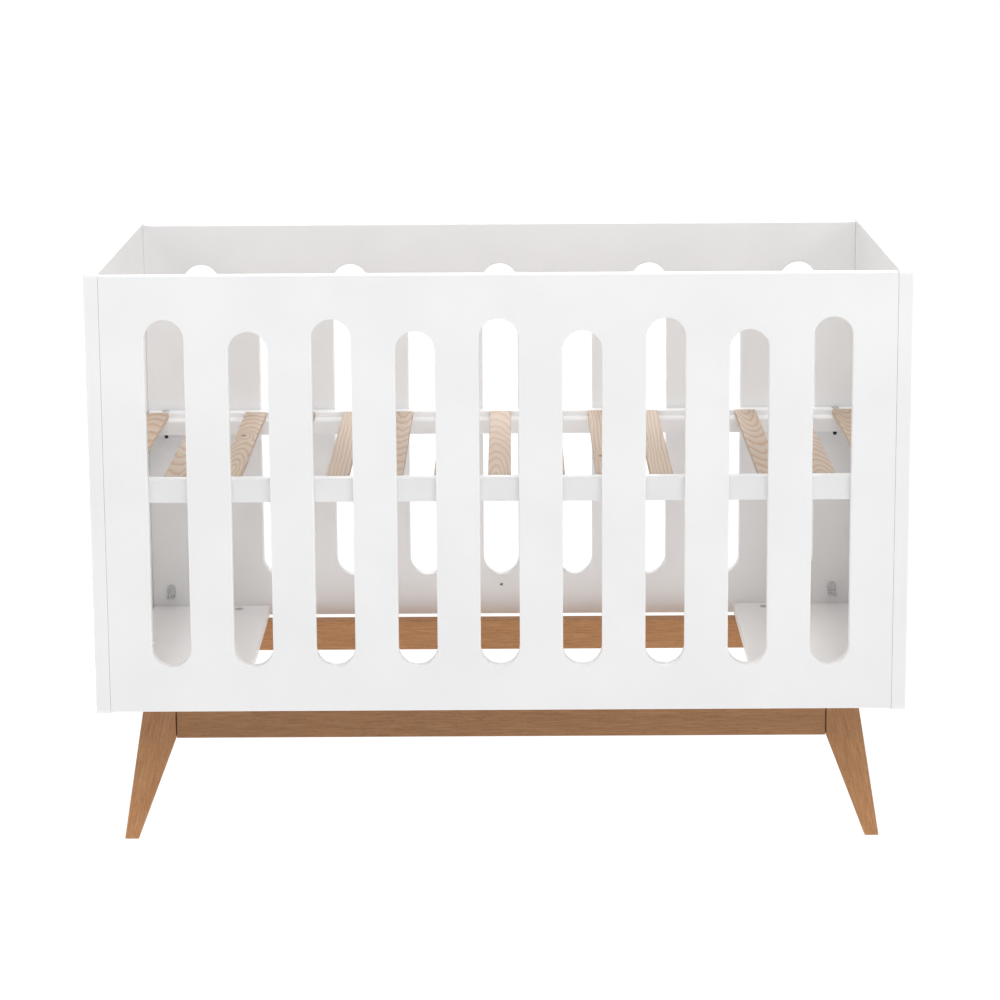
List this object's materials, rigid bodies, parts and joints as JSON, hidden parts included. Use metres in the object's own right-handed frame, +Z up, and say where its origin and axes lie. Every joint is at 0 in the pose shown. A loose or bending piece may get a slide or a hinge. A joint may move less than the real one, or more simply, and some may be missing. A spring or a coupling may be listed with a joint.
{
  "type": "baby crib",
  "caption": "Baby crib with solid ends, slotted sides, a height-adjustable slatted base and a splayed timber leg frame.",
  "frame": {"origin": "on the floor under the middle of the crib", "axes": "+X along the crib's length towards its right end seen from the front, +Y towards the rear side, +Z up"},
  "size_m": [1.244, 0.65, 0.893],
  "materials": {
    "white_lacquer": "smooth satin white lacquer on board",
    "pine": "planed bare pine with visible grain",
    "brown_timber": "satin oiled brown timber with fine grain",
    "zinc_steel": "bright zinc-plated steel"
  },
  "bodies": {
    "frame": {"end_panel_left": "white_lacquer", "end_panel_right": "white_lacquer", "side_panel_front": "white_lacquer", "side_panel_rear": "white_lacquer", "corner_dowel_front_left_low": "zinc_steel", "corner_dowel_front_left_high": "zinc_steel", "corner_dowel_front_right_low": "zinc_steel", "corner_dowel_front_right_high": "zinc_steel", "corner_dowel_rear_left_low": "zinc_steel", "corner_dowel_rear_left_high": "zinc_steel", "corner_dowel_rear_right_low": "zinc_steel", "corner_dowel_rear_right_high": "zinc_steel", "panel_insert_front_left": "zinc_steel", "panel_insert_front_right": "zinc_steel", "panel_insert_rear_left": "zinc_steel", "panel_insert_rear_right": "zinc_steel", "support_bracket_front_left": "zinc_steel", "support_bracket_front_right": "zinc_steel", "support_bracket_rear_left": "zinc_steel", "support_bracket_rear_right": "zinc_steel", "leg_rail_front": "brown_timber", "leg_rail_rear": "brown_timber", "leg_stretcher_left": "brown_timber", "leg_stretcher_right": "brown_timber", "leg_front_left": "brown_timber", "leg_front_right": "brown_timber", "leg_rear_left": "brown_timber", "leg_rear_right": "brown_timber", "bottom_board_left": "white_lacquer", "bottom_board_right": "white_lacquer", "board_bolt_front_left": "zinc_steel", "board_bolt_front_right": "zinc_steel", "board_bolt_rear_left": "zinc_steel", "board_bolt_rear_right": "zinc_steel", "end_brace_left": "zinc_steel", "end_brace_right": "zinc_steel"},
    "bed_base": {"base_rail_front": "white_lacquer", "base_rail_rear": "white_lacquer", "slat_01": "pine", "slat_02": "pine", "slat_03": "pine", "slat_04": "pine", "slat_05": "pine", "slat_06": "pine", "slat_07": "pine", "slat_08": "pine", "slat_09": "pine", "slat_10": "pine", "slat_11": "pine", "slat_12": "pine", "slat_13": "pine", "slat_14": "pine", "slat_15": "pine", "base_bolt_front_left": "zinc_steel", "base_bolt_front_right": "zinc_steel", "base_bolt_rear_left": "zinc_steel", "base_bolt_rear_right": "zinc_steel"}
  },
  "joints": [
    {"name": "base_height", "type": "slide", "parent": "frame", "child": "bed_base", "axis": [0, 0, 1], "range_m": [-0.285, 0]}
  ]
}
